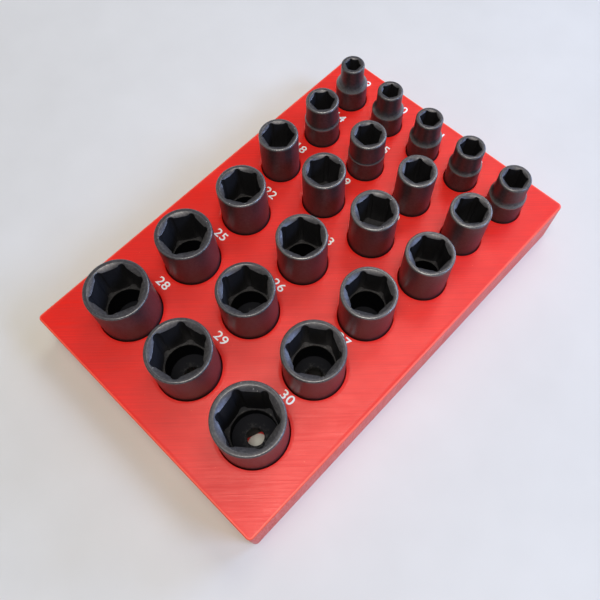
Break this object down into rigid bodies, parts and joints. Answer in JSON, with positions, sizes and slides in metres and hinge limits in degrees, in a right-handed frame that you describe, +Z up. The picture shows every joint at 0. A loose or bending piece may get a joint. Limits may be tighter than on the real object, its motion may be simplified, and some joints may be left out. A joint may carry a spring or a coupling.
{
  "type": "socket organizer drawer tray",
  "caption": "Flat rectangular drawer tray with a round pocket for each of a set of deep impact sockets, which stand hexagon up, graded by size, and lift straight out.",
  "frame": {"origin": "middle of the tray's flat underside, on the surface that it rests on", "axes": "+X across the tray, +Y from its front edge to its back edge, +Z up, the way the sockets lift out"},
  "size_m": [0.194, 0.295, 0.072],
  "materials": {
    "tray_plastic": "red printed plastic, satin, fine layer lines",
    "socket_steel": "dark phosphated steel with worn rims"
  },
  "bodies": {
    "tray": {"tray": "tray_plastic"},
    "socket_09mm": {"socket_09mm": "socket_steel"},
    "socket_10mm": {"socket_10mm": "socket_steel"},
    "socket_11mm": {"socket_11mm": "socket_steel"},
    "socket_12mm": {"socket_12mm": "socket_steel"},
    "socket_13mm": {"socket_13mm": "socket_steel"},
    "socket_14mm": {"socket_14mm": "socket_steel"},
    "socket_15mm": {"socket_15mm": "socket_steel"},
    "socket_16mm": {"socket_16mm": "socket_steel"},
    "socket_17mm": {"socket_17mm": "socket_steel"},
    "socket_18mm": {"socket_18mm": "socket_steel"},
    "socket_19mm": {"socket_19mm": "socket_steel"},
    "socket_20mm": {"socket_20mm": "socket_steel"},
    "socket_21mm": {"socket_21mm": "socket_steel"},
    "socket_22mm": {"socket_22mm": "socket_steel"},
    "socket_23mm": {"socket_23mm": "socket_steel"},
    "socket_24mm": {"socket_24mm": "socket_steel"},
    "socket_25mm": {"socket_25mm": "socket_steel"},
    "socket_26mm": {"socket_26mm": "socket_steel"},
    "socket_27mm": {"socket_27mm": "socket_steel"},
    "socket_28mm": {"socket_28mm": "socket_steel"},
    "socket_29mm": {"socket_29mm": "socket_steel"},
    "socket_30mm": {"socket_30mm": "socket_steel"}
  },
  "joints": [
    {"name": "lift_09mm", "type": "slide", "parent": "tray", "child": "socket_09mm", "axis": [0, 0, 1], "range_m": [0, 0.075]},
    {"name": "lift_10mm", "type": "slide", "parent": "tray", "child": "socket_10mm", "axis": [0, 0, 1], "range_m": [0, 0.075]},
    {"name": "lift_11mm", "type": "slide", "parent": "tray", "child": "socket_11mm", "axis": [0, 0, 1], "range_m": [0, 0.075]},
    {"name": "lift_12mm", "type": "slide", "parent": "tray", "child": "socket_12mm", "axis": [0, 0, 1], "range_m": [0, 0.075]},
    {"name": "lift_13mm", "type": "slide", "parent": "tray", "child": "socket_13mm", "axis": [0, 0, 1], "range_m": [0, 0.075]},
    {"name": "lift_14mm", "type": "slide", "parent": "tray", "child": "socket_14mm", "axis": [0, 0, 1], "range_m": [0, 0.075]},
    {"name": "lift_15mm", "type": "slide", "parent": "tray", "child": "socket_15mm", "axis": [0, 0, 1], "range_m": [0, 0.075]},
    {"name": "lift_16mm", "type": "slide", "parent": "tray", "child": "socket_16mm", "axis": [0, 0, 1], "range_m": [0, 0.075]},
    {"name": "lift_17mm", "type": "slide", "parent": "tray", "child": "socket_17mm", "axis": [0, 0, 1], "range_m": [0, 0.075]},
    {"name": "lift_18mm", "type": "slide", "parent": "tray", "child": "socket_18mm", "axis": [0, 0, 1], "range_m": [0, 0.075]},
    {"name": "lift_19mm", "type": "slide", "parent": "tray", "child": "socket_19mm", "axis": [0, 0, 1], "range_m": [0, 0.075]},
    {"name": "lift_20mm", "type": "slide", "parent": "tray", "child": "socket_20mm", "axis": [0, 0, 1], "range_m": [0, 0.075]},
    {"name": "lift_21mm", "type": "slide", "parent": "tray", "child": "socket_21mm", "axis": [0, 0, 1], "range_m": [0, 0.075]},
    {"name": "lift_22mm", "type": "slide", "parent": "tray", "child": "socket_22mm", "axis": [0, 0, 1], "range_m": [0, 0.075]},
    {"name": "lift_23mm", "type": "slide", "parent": "tray", "child": "socket_23mm", "axis": [0, 0, 1], "range_m": [0, 0.075]},
    {"name": "lift_24mm", "type": "slide", "parent": "tray", "child": "socket_24mm", "axis": [0, 0, 1], "range_m": [0, 0.075]},
    {"name": "lift_25mm", "type": "slide", "parent": "tray", "child": "socket_25mm", "axis": [0, 0, 1], "range_m": [0, 0.075]},
    {"name": "lift_26mm", "type": "slide", "parent": "tray", "child": "socket_26mm", "axis": [0, 0, 1], "range_m": [0, 0.075]},
    {"name": "lift_27mm", "type": "slide", "parent": "tray", "child": "socket_27mm", "axis": [0, 0, 1], "range_m": [0, 0.075]},
    {"name": "lift_28mm", "type": "slide", "parent": "tray", "child": "socket_28mm", "axis": [0, 0, 1], "range_m": [0, 0.075]},
    {"name": "lift_29mm", "type": "slide", "parent": "tray", "child": "socket_29mm", "axis": [0, 0, 1], "range_m": [0, 0.075]},
    {"name": "lift_30mm", "type": "slide", "parent": "tray", "child": "socket_30mm", "axis": [0, 0, 1], "range_m": [0, 0.075]}
  ]
}
